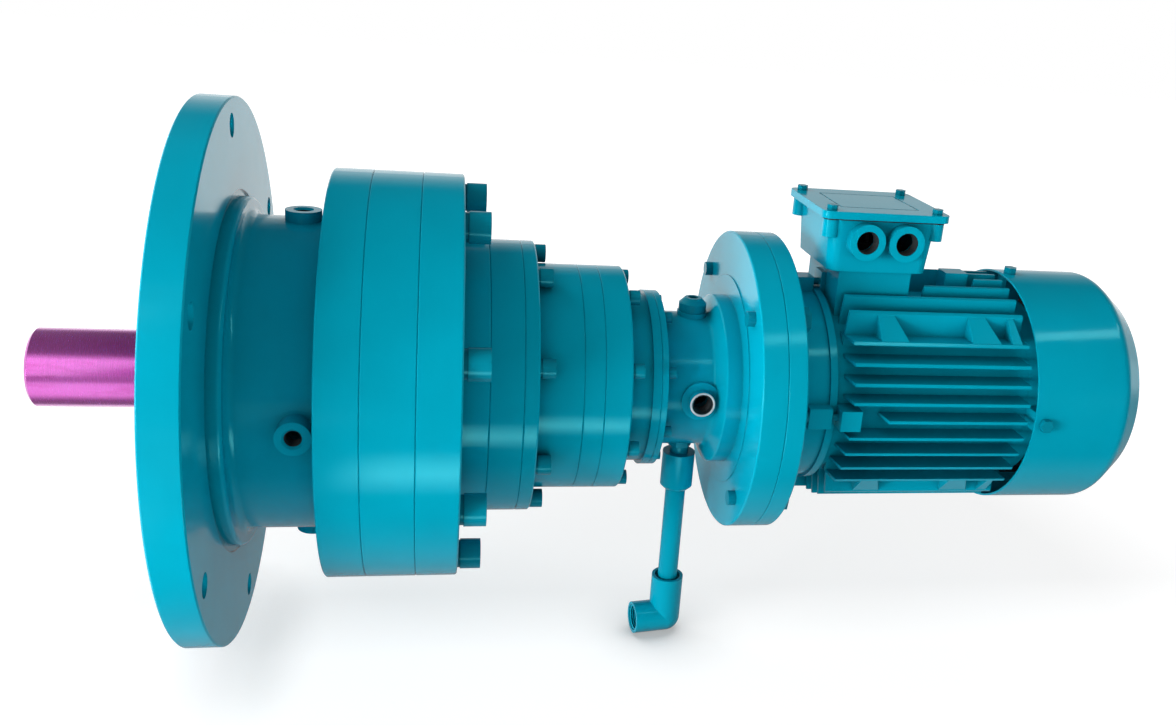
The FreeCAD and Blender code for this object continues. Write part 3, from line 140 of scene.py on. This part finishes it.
class Look(Nodes):
    """One procedural material."""

    def __init__(self, name):
        self.material = bpy.data.materials.new(name)
        self.material.use_nodes = True
        super().__init__(self.material.node_tree, "ShaderNodeOutputMaterial")
        self.object_coords = self.add("ShaderNodeTexCoord").outputs["Object"]

    def place(self, scale, turn=(0.0, 0.0, 0.0)):
        """Object coordinates, scaled and turned."""
        node = self.add("ShaderNodeMapping", {"Vector": self.object_coords, "Scale": scale,
                                              "Rotation": turn})
        return node.outputs["Vector"]

    def noise(self, scale, detail=3.0, roughness=0.55, vector=None):
        node = self.add("ShaderNodeTexNoise", {"Vector": vector or self.object_coords, "Scale": scale,
                                               "Detail": detail, "Roughness": roughness})
        return node.outputs["Fac"]

    def stretched(self, scale, turn=(0.0, 0.0, 0.0), detail=3.0, roughness=0.5):
        """Noise with its own scale along each axis."""
        return self.noise(1.0, detail, roughness, self.place(scale, turn))

    def cells(self, scale):
        node = self.add("ShaderNodeTexVoronoi", {"Vector": self.object_coords, "Scale": scale})
        return node.outputs["Distance"]

    def openness(self, reach, samples):
        """1 in the open, less where something is closer than the reach."""
        node = self.add("ShaderNodeAmbientOcclusion", {"Distance": reach}, samples=samples)
        return node.outputs["AO"]

    def mix(self, factor, a, b):
        """The colour a where the factor is 0 and b where it is 1."""
        node = self.add("ShaderNodeMix", data_type="RGBA")
        self.put(node.inputs["Factor"], factor)
        self.put(node.inputs[MIX_COLOUR_A], a)
        self.put(node.inputs[MIX_COLOUR_B], b)
        return node.outputs[MIX_COLOUR_OUT]

    def bump(self, height, distance, strength, normal=None):
        node = self.add("ShaderNodeBump", {"Height": height, "Distance": distance, "Strength": strength})
        if normal is not None:
            self.put(node.inputs["Normal"], normal)
        return node.outputs["Normal"]

    def rounded(self, radius):
        """Normal with small rounded edges."""
        return self.add("ShaderNodeBevel", {"Radius": radius}, samples=4).outputs["Normal"]

    def surface(self, **inputs):
        names = {key.replace("_", " "): value for key, value in inputs.items()}
        self.show(self.add("ShaderNodeBsdfPrincipled", names))
        return self.material


def paint(name, colour, deep, grain_mm, grain_depth_mm, gloss):
    """Gloss enamel over cast or turned metal: film thickness, painted shade in recesses, orange peel, dust and
    grain.
    """
    look = Look(name)
    film = look.noise(scale=9.0, detail=2.0)
    clouds = look.noise(scale=42.0, detail=4.0)
    shade = look.mix(look.ramp(film, 0.35, 0.68), colour, deep)
    open_colour = look.mix(look.ramp(clouds, 0.45, 0.95, out_high=0.30), shade, deep)
    # Painted shade: the colour darkens to a share of itself where other surfaces are close, in recesses and
    # corners
    openness = look.ramp(look.openness(PAINTED_SHADE_REACH, samples=4), 0.15, 0.85)
    tint = look.mix(openness, scaled(colour, PAINTED_SHADE_SHARE), open_colour)
    dust = look.ramp(look.cells(scale=260.0), 0.02, 0.06, out_low=0.06, out_high=0.0)
    rough = look.plus(look.ramp(clouds, 0.3, 0.7, out_low=gloss, out_high=gloss + 0.06), dust)
    peel = look.noise(scale=420.0, detail=2.0, roughness=0.4)
    grain = look.noise(scale=1.0 / (grain_mm * MM), roughness=0.5)
    peeled = look.bump(peel, distance=0.008 * MM, strength=0.5, normal=look.rounded(0.7 * MM))
    normal = look.bump(grain, distance=grain_depth_mm * MM, strength=0.5, normal=peeled)
    return look.surface(Base_Color=tint, Roughness=rough, Normal=normal, Specular_Tint=(0.2, 1.0, 0.97))


def lacquered_steel():
    """Machined shaft under a coloured protective lacquer, with turning marks and uneven film."""
    look = Look("shaft_lacquer")
    turning = look.stretched((2600.0, 40.0, 40.0), roughness=0.6)
    patches = look.noise(scale=30.0, roughness=0.5, vector=look.place((0.25, 1.0, 1.0)))
    streaks = look.noise(scale=75.0, detail=5.0, roughness=0.65, vector=look.place((0.35, 1.6, 1.6)))
    tint = look.mix(look.ramp(patches, 0.35, 0.70), LACQUER, LACQUER_PALE)
    tint = look.mix(look.ramp(streaks, 0.52, 0.74, out_high=0.55), tint, LACQUER_DEEP)
    rough = look.ramp(turning, 0.3, 0.7, out_low=0.20, out_high=0.32)
    normal = look.bump(turning, distance=0.012 * MM, strength=0.5, normal=look.rounded(0.8 * MM))
    return look.surface(Base_Color=tint, Metallic=0.95, Roughness=rough, Normal=normal, Coat_Weight=1.0,
                        Coat_Roughness=0.10, Coat_IOR=1.6)


def machined_steel(name, colour, line_density, rough_low, rough_high, metallic=1.0):
    """Steel with fine turning lines about the shaft and faint stains."""
    look = Look(name)
    lines = look.stretched((line_density, 30.0, 30.0), detail=2.0)
    stain = look.noise(scale=30.0)
    tint = look.mix(look.ramp(stain, 0.45, 0.75, out_high=0.4), colour, scaled(colour, 0.6))
    rough = look.ramp(lines, 0.3, 0.7, rough_low, rough_high)
    normal = look.bump(lines, distance=0.015 * MM, strength=0.5, normal=look.rounded(0.4 * MM))
    return look.surface(Base_Color=tint, Metallic=metallic, Roughness=rough, Normal=normal)


def laminations():
    """Stacked sheets of the stator and rotor cores."""
    look = Look("laminated_core")
    layers = look.stretched((2000.0, 3.0, 3.0), detail=1.0)
    tint = look.mix(look.ramp(layers, 0.3, 0.7), SHEET_DARK, SHEET_PALE)
    return look.surface(Base_Color=tint, Metallic=0.9, Roughness=0.5,
                        Normal=look.bump(layers, distance=0.08 * MM, strength=0.8))


def winding_wire():
    """Bundled enamelled wire of the end turns."""
    look = Look("winding_wire")
    strands = look.stretched((900.0, 220.0, 220.0), turn=(0.5, 0.2, 0.0), roughness=0.7)
    tint = look.mix(look.ramp(strands, 0.35, 0.65), WIRE_DARK, WIRE_PALE)
    rough = look.ramp(strands, 0.3, 0.7, out_low=0.28, out_high=0.5)
    return look.surface(Base_Color=tint, Metallic=0.6, Roughness=rough,
                        Normal=look.bump(strands, distance=0.5 * MM, strength=0.9))


def black_moulding(name, colour, rough, grain_mm):
    """Rubber or plastic with a fine grain and a faint pale bloom."""
    look = Look(name)
    grain = look.noise(scale=1.0 / (grain_mm * MM), roughness=0.6)
    bloom = look.noise(scale=45.0)
    tint = look.mix(look.ramp(bloom, 0.4, 0.8, out_high=0.6), colour, scaled(colour, 2.2))
    roughness = look.ramp(bloom, 0.3, 0.7, out_low=rough - 0.06, out_high=rough + 0.06)
    normal = look.bump(grain, distance=0.05 * MM, strength=0.6, normal=look.rounded(0.4 * MM))
    return look.surface(Base_Color=tint, Roughness=roughness, Normal=normal)


LOOKS = {
    "cast_paint": paint("cast_paint", TEAL, TEAL_DEEP, 2.6, 0.035, 0.11),
    "turned_paint": paint("turned_paint", TEAL, TEAL_DEEP, 5.0, 0.012, 0.09),
    "screw_paint": paint("screw_paint", TEAL_SCREW, TEAL_SCREW, 2.0, 0.04, 0.20),
    "lacquer": lacquered_steel(),
    "ground_steel": machined_steel("ground_steel", STEEL, 3000.0, 0.18, 0.30),
    "gear_steel": machined_steel("gear_steel", GEAR_STEEL, 1400.0, 0.28, 0.42),
    "painted_shade_thread": machined_steel("painted_shade_thread", THREAD_PAINTED_SHADE, 900.0, 0.45, 0.60, metallic=0.1),
    "bright_bush": machined_steel("bright_bush", BUSH_BRIGHT, 900.0, 0.30, 0.42, metallic=0.35),
    "core": laminations(),
    "wire": winding_wire(),
    "rubber": black_moulding("black_rubber", RUBBER, 0.62, 0.9),
    "plastic": black_moulding("black_plastic", PLASTIC, 0.48, 0.6),
}

PLANETS = " ".join(f"planet_gear_{stage}_{i}" for stage in (3, 2, 1) for i in (1, 2, 3))
NODES_BY_LOOK = {
    "cast_paint": ("output_housing input_adapter drive_end_shield motor_frame rear_end_shield terminal_box "
                   "pipe_elbow"),
    "turned_paint": ("ring_gear_3 ring_gear_2 ring_gear_1 stage_cover_3 stage_cover_2 stage_cover_1 "
                     "pipe_nipple pipe_coupling oil_pipe fan_cowl terminal_lid"),
    "screw_paint": ("housing_screws_3 housing_screws_2 housing_screws_1 adapter_screws motor_flange_bolts "
                    "end_screws cowl_screws lid_screws filler_plug"),
    "lacquer": "output_shaft",
    "ground_steel": ("planet_pins_3 planet_pins_2 planet_pins_1 coupling_sleeve motor_shaft "
                     "gearbox_bearing_outer_rings output_bearing_inner_rings rotor_bearing_inner_rings "
                     "motor_bearing_outer_rings"),
    "gear_steel": ("planet_carrier_3 planet_carrier_2 planet_carrier_1 sun_gear_3 sun_gear_2 sun_gear_1 "
                   + PLANETS),
    "core": "stator_core rotor_core",
    "wire": "stator_windings",
    "rubber": "output_oil_seal lid_gasket",
    "plastic": "cooling_fan terminal_block",
}


def dress():
    for look_name, names in NODES_BY_LOOK.items():
        for name in names.split():
            mesh = frame["nodes"][name].data
            mesh.materials.clear()
            mesh.materials.append(LOOKS[look_name])


# Threads and bushes in the open bores, turned about each bore's own axis

SEGMENTS = 72
FRONT, UP, DOWN = (0, -1, 0), (0, 0, 1), (0, 0, -1)
SIDE_PORT = (0.3832, -0.064, 0.0)
# The elbow's mouth points towards the driven machine and a little to the front
ELBOW_TURN = math.radians(8)
ELBOW_WAY = Vector((-math.cos(ELBOW_TURN), -math.sin(ELBOW_TURN), 0.0))
ELBOW_MOUTH = Vector((0.3822, 0.0, -0.230)) + 0.030 * ELBOW_WAY
CABLE_ENTRIES = [(f"cable_entry_thread_{i}", (x, -0.055, 0.1345), FRONT, 9.25, 1.2, 11.0, 1.5)
                 for i, x in ((1, 0.5065), (2, 0.5395))]
# Name, mouth, way out, and in millimetres bore radius, depth of the first turn, length and pitch
DARK_THREADS = CABLE_ENTRIES + [
    ("oil_port_thread_top", (0.075, 0.0, 0.130), UP, 6.0, 1.9, 12.0, 1.25),
    ("oil_port_thread_front", (0.081, -0.137, 0.0), FRONT, 6.0, 1.9, 12.0, 1.25),
    ("oil_port_thread_bottom", (0.079, 0.0, -0.137), DOWN, 6.0, 1.9, 12.0, 1.25),
    ("side_port_thread", SIDE_PORT, FRONT, 7.75, 3.0, 11.0, 1.5),
]
ELBOW_THREAD = ("elbow_mouth_thread", ELBOW_MOUTH, ELBOW_WAY, 11.25, 1.0, 10.0, 1.8)
# Gaps of a thread's back and roots to the bore, and of the last root to the thread's end
WALL_GAP_MM, ROOT_GAP_MM, END_GAP_MM = 0.03, 0.08, 0.01
# Shares of the pitch: height of a crest above the bore, and where a turn rises and where its crest is
CREST_HEIGHT = 0.62
TURN_START, CREST_START, CREST_END = 0.12, 0.45, 0.60
# Outlines in millimetres: distance inwards from the mouth, and radius
SIDE_PORT_BUSH = ((-0.02, 8.55), (-0.02, 10.0), (-0.2, 10.15), (-0.6, 10.1), (-0.9, 9.8), (-0.95, 9.2),
                  (-0.8, 8.7), (-0.5, 8.5))
SIDE_PORT_LIP = ((2.8, 7.70), (-0.02, 7.70), (-0.02, 8.6), (-0.35, 8.6), (-0.45, 8.2), (-0.3, 7.6),
                 (0.2, 7.3), (2.8, 7.3))


def turned_ring(name, mouth, axis, outline, look_name):
    """Closed outline of (distance inwards from the mouth, radius) in millimetres, turned about the axis."""
    out = Vector(axis).normalized()
    side = out.orthogonal().normalized()
    other = out.cross(side)
    form = bmesh.new()
    rings = []
    for i in range(SEGMENTS):
        angle = 2 * math.pi * i / SEGMENTS
        spoke = side * math.cos(angle) + other * math.sin(angle)
        rings.append([form.verts.new(Vector(mouth) - out * depth * MM + spoke * radius * MM)
                      for depth, radius in outline])
    for i in range(SEGMENTS):
        here, ahead = rings[i], rings[(i + 1) % SEGMENTS]
        for j in range(len(outline)):
            k = (j + 1) % len(outline)
            form.faces.new((here[j], here[k], ahead[k], ahead[j]))
    bmesh.ops.recalc_face_normals(form, faces=form.faces)
    mesh = bpy.data.meshes.new(name)
    form.to_mesh(mesh)
    form.free()
    mesh.materials.append(LOOKS[look_name])
    piece = bpy.data.objects.new(name, mesh)
    bpy.context.scene.collection.objects.link(piece)
    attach(piece, "housing")


def thread(facts, look_name):
    """Sleeve with a thread's crests and roots on its inside, a hair inside the bore's wall."""
    name, mouth, axis, bore_r, start, length, pitch = facts
    wall, root, crest = bore_r - WALL_GAP_MM, bore_r - ROOT_GAP_MM, bore_r - CREST_HEIGHT * pitch
    outline = [(start + length, wall), (start, wall)]
    for turn in range(int(length / pitch)):
        top = start + turn * pitch
        outline += [(top + TURN_START * pitch, root), (top + CREST_START * pitch, crest),
                    (top + CREST_END * pitch, crest)]
    outline.append((start + length - END_GAP_MM, root))
    turned_ring(name, mouth, axis, outline, look_name)


def fittings():
    for facts in DARK_THREADS:
        # The threads and the side port's lip take the near-black painted shade
        thread(facts, "painted_shade_thread")
    turned_ring("side_port_bush", SIDE_PORT, FRONT, SIDE_PORT_BUSH, "bright_bush")
    turned_ring("side_port_lip", SIDE_PORT, FRONT, SIDE_PORT_LIP, "painted_shade_thread")
    thread(ELBOW_THREAD, "cast_paint")


# Floor

FLOOR_SIZE = 14.0
# Painted shadow: the floor's glow is dimmed near the object, most behind the shaft
# The floor's own white near the object, in front of the shaft and behind it, and where it changes
FLOOR_GLOW_FRONT, FLOOR_GLOW_BACK, GLOW_CHANGE = 0.84, 0.66, (-0.03, 0.07)
# Its paint as the camera sees it, and as it lights the object
FLOOR_SHADE, FLOOR_PALE = 0.45, 0.90
# Middle of the painted shadow in the floor's glow, and the distances over which it turns into plain white
PAINTED_SHADOW_MIDDLE = (0.40, 0.08, FLOOR_Z)
PAINTED_SHADOW_EDGE = (0.45, 0.90)
# Painted contact shadow: things closer to the floor than this darken its glow, to the last number at the least
# openness
PAINTED_CONTACT_REACH, PAINTED_CONTACT_OPEN, PAINTED_CONTACT_DARK = 0.07, (0.5, 1.0), 0.4
# Where gloss shows the painted floor glow change. Left of the flange it is pale in front and behind
# and dark between, a painted shadow under the shaft
LEFT_END = (-0.11, -0.05)
LEFT_FRONT_START, LEFT_FRONT_END, LEFT_BEHIND = (-0.62, -0.48), (-0.12, -0.03), (0.06, 0.14)
LEFT_FRONT_FAR, LEFT_FRONT_NEAR = 0.34, 0.22
# Right of that it is dark in front, dim under the object as a painted shadow, and white well behind it
DIM_PAINTED_SHADOW, DIM_START, WHITE_START = 0.30, (-0.24, -0.12), (0.2, 0.6)
# A painted bright band in front of the gearbox: its strength, and its ends along X and along Y
FLOOR_BAND_PAINTED_GLOW = 4.5
BAND_START, BAND_END = (0.07, 0.12), (0.38, 0.52)
BAND_FRONT, BAND_BACK = (-0.75, -0.49), (-0.46, -0.34)


def floor_seen(look, across, camera_ray):
    """The floor as the camera sees it and as it lights the object: white, with a real and a painted shadow."""
    from_middle = look.add("ShaderNodeVectorMath", operation="DISTANCE")
    look.put(from_middle.inputs[0], look.object_coords)
    look.put(from_middle.inputs[1], PAINTED_SHADOW_MIDDLE)
    # Painted shadow: the glow is lower near the object, lowest behind the shaft, and lower still under close
    # things
    near = look.ramp(across, *GLOW_CHANGE, FLOOR_GLOW_FRONT, FLOOR_GLOW_BACK)
    glow = look.ramp(from_middle.outputs["Value"], *PAINTED_SHADOW_EDGE, near, 1.0)
    contact = look.ramp(look.openness(PAINTED_CONTACT_REACH, 16), *PAINTED_CONTACT_OPEN, PAINTED_CONTACT_DARK, 1.0)
    strength = look.times(look.times(camera_ray, glow), contact)
    shade = look.mix(camera_ray, scaled(WHITE, FLOOR_PALE), scaled(WHITE, FLOOR_SHADE))
    paint_part = look.add("ShaderNodeBsdfDiffuse", {"Color": shade})
    white_part = look.add("ShaderNodeEmission", {"Color": WHITE, "Strength": strength})
    both = look.add("ShaderNodeAddShader")
    look.put(both.inputs[0], paint_part.outputs[0])
    look.put(both.inputs[1], white_part.outputs[0])
    return both


def floor_mirrored(look, along, across):
    """The floor as gloss shows it, a painted glow: pale at the left and behind, dim or dark elsewhere, one
    bright band.
    """
    # Painted shadow: the glow is dim or dark under the object
    left = look.ramp(along, *LEFT_END, 1.0, 0.0)
    left_front = look.times(look.ramp(across, *LEFT_FRONT_START, LEFT_FRONT_FAR, 1.0),
                            look.ramp(across, *LEFT_FRONT_END, 1.0, LEFT_FRONT_NEAR))
    at_left = look.larger(left_front, look.ramp(across, *LEFT_BEHIND))
    at_right = look.larger(look.ramp(across, *DIM_START, 0.0, DIM_PAINTED_SHADOW), look.ramp(across, *WHITE_START))
    # Painted highlight: a bright band glowing in place of a lamp
    band_length = look.times(look.ramp(along, *BAND_START), look.ramp(along, *BAND_END, 1.0, 0.0))
    band_width = look.times(look.ramp(across, *BAND_FRONT), look.ramp(across, *BAND_BACK, 1.0, 0.0))
    band = look.times(look.times(band_length, band_width), FLOOR_BAND_PAINTED_GLOW)
    strength = look.plus(look.either(left, at_right, at_left), band)
    return look.add("ShaderNodeEmission", {"Color": WHITE, "Strength": strength})


def floor():
    """Pale floor with the object's shadow near it, partly real and partly painted, and plain white further
    off.
    """
    half = FLOOR_SIZE / 2
    corners = [(x, y, FLOOR_Z) for x, y in ((-half, -half), (half, -half), (half, half), (-half, half))]
    mesh = bpy.data.meshes.new("floor")
    mesh.from_pydata(corners, [], [(0, 1, 2, 3)])
    plane = bpy.data.objects.new("floor", mesh)
    bpy.context.scene.collection.objects.link(plane)
    look = Look("floor_white")
    rays = look.add("ShaderNodeLightPath").outputs
    place = look.split(look.object_coords)
    choice = look.add("ShaderNodeMixShader", {"Fac": rays["Is Glossy Ray"]})
    look.put(choice.inputs[1], floor_seen(look, place["Y"], rays["Is Camera Ray"]).outputs[0])
    look.put(choice.inputs[2], floor_mirrored(look, place["X"], place["Y"]).outputs[0])
    look.show(choice)
    mesh.materials.append(look.material)


# World and lights

AMBIENT = 0.37
# What gloss shows: a wall behind, white at its left and dimmer at its right, and a room in front
WALL_RIGHT = 0.68
ROOM, ROOM_LEFT = 0.02, 0.20
# Parts of a direction over which the wall starts, dims and ends at its top, and the room's left ends
WALL_START, WALL_DIMS, WALL_TOP = (-0.25, 0.15), (-0.05, 0.15), (0.12, 0.60)
ROOM_LEFT_END = (-0.28, -0.18)


def world():
    """Even light all round. Gloss shows a white wall behind the object and a dark room in front of it."""
    data = bpy.data.worlds.new("studio")
    bpy.context.scene.world = data
    data.use_nodes = True
    sky = Nodes(data.node_tree, "ShaderNodeOutputWorld")
    way = sky.split(sky.add("ShaderNodeTexCoord").outputs["Generated"])
    rays = sky.add("ShaderNodeLightPath").outputs
    below_top = sky.ramp(way["Z"], *WALL_TOP, 1.0, 0.0)
    behind = sky.times(sky.ramp(way["Y"], *WALL_START), sky.ramp(way["X"], *WALL_DIMS, 1.0, WALL_RIGHT))
    room = sky.ramp(way["X"], *ROOM_LEFT_END, ROOM_LEFT, ROOM)
    wall = sky.larger(sky.times(below_top, behind), room)
    strength = sky.larger(rays["Is Camera Ray"], sky.either(rays["Is Glossy Ray"], AMBIENT, wall))
    sky.show(sky.add("ShaderNodeBackground", {"Color": WHITE, "Strength": strength}))


# Lamps that light surfaces: name, angle from the shaft's far end, clock angle about the shaft, watts
SOFTBOXES = (
    ("key_left", 30, 97, 91.0),
    ("key_side", 60, 97, 6.0),
    ("high_left", 50, -30, 19.0),
    ("far_right", 140, 100, 8.6),
    ("along_axis", 12, 100, 4.0),
)
SOFTBOX_AIM = Vector((0.25, 0.0, 0.0))
SOFTBOX_REACH, SOFTBOX_SIDE = 2.4, 1.1
# Windows that only gloss shows: name, place, aim, width, height, radiance
WINDOWS = (
    ("front_window", (-0.85, -1.2, 0.50), (-0.06, 0.0, 0.0), 1.0, 1.36, 0.75),
    ("front_glow", (-0.85, -1.2, 0.59), (-0.06, 0.0, 0.0), 1.0, 1.7, 0.40),
    ("high_window", (1.15, -0.55, 0.97), (0.72, -0.08, 0.07), 1.3, 0.12, 3.6),
    ("key_window", (-1.22, -0.84, -0.05), (0.25, 0.0, 0.0), 0.24, 0.30, 16.0),
)


def area_lamp(name, place, aim, width, height, power, in_gloss):
    """Area lamp that lights surfaces, or that only gloss shows."""
    data = bpy.data.lights.new(name, "AREA")
    data.shape = "RECTANGLE"
    data.size, data.size_y = width, height
    data.energy = power
    lamp = bpy.data.objects.new(name, data)
    bpy.context.scene.collection.objects.link(lamp)
    lamp.location = place
    lamp.rotation_mode = "QUATERNION"
    lamp.rotation_quaternion = (Vector(aim) - Vector(place)).to_track_quat("-Z", "Y")
    lamp.visible_camera = False
    lamp.visible_diffuse = not in_gloss
    lamp.visible_glossy = in_gloss


def lights():
    for name, from_axis, clock, power in SOFTBOXES:
        a, c = math.radians(from_axis), math.radians(clock)
        way = Vector((-math.cos(a), -math.sin(a) * math.sin(c), math.sin(a) * math.cos(c)))
        place = SOFTBOX_AIM + SOFTBOX_REACH * way
        area_lamp(name, place, SOFTBOX_AIM, SOFTBOX_SIDE, SOFTBOX_SIDE, power, False)
    for name, place, aim, width, height, radiance in WINDOWS:
        area_lamp(name, place, aim, width, height, radiance * math.pi * width * height, True)


# Camera worked out from the photograph: its place, its angles in degrees, and the rest in photo pixels

CAMERA_PLACE = (0.17833, -0.87734, 0.31932)
TURNED_RIGHT, TILTED_DOWN, ROLLED = 12.54, 18.241, 5.16
PHOTO_WIDTH_PX = 1176
FOCAL_PX = 1126.52
SHIFT_X_PX, SHIFT_Y_PX = -90.0, -12.0
SENSOR_MM = 36.0


def camera():
    data = bpy.data.cameras.new("photo_camera")
    data.sensor_fit = "HORIZONTAL"
    data.sensor_width = SENSOR_MM
    data.lens = SENSOR_MM * FOCAL_PX / PHOTO_WIDTH_PX
    data.shift_x = SHIFT_X_PX / PHOTO_WIDTH_PX
    data.shift_y = SHIFT_Y_PX / PHOTO_WIDTH_PX
    data.clip_start, data.clip_end = 0.05, 50.0
    obj = bpy.data.objects.new("photo_camera", data)
    bpy.context.scene.collection.objects.link(obj)
    turn = Matrix.Rotation(math.radians(-TURNED_RIGHT), 4, "Z")
    tilt = Matrix.Rotation(math.radians(90 - TILTED_DOWN), 4, "X")
    roll = Matrix.Rotation(math.radians(ROLLED), 4, "Z")
    obj.matrix_world = Matrix.Translation(CAMERA_PLACE) @ turn @ tilt @ roll
    bpy.context.scene.camera = obj


dress()
fittings()
floor()
world()
lights()
camera()
bpy.context.scene.view_settings.view_transform = "Standard"
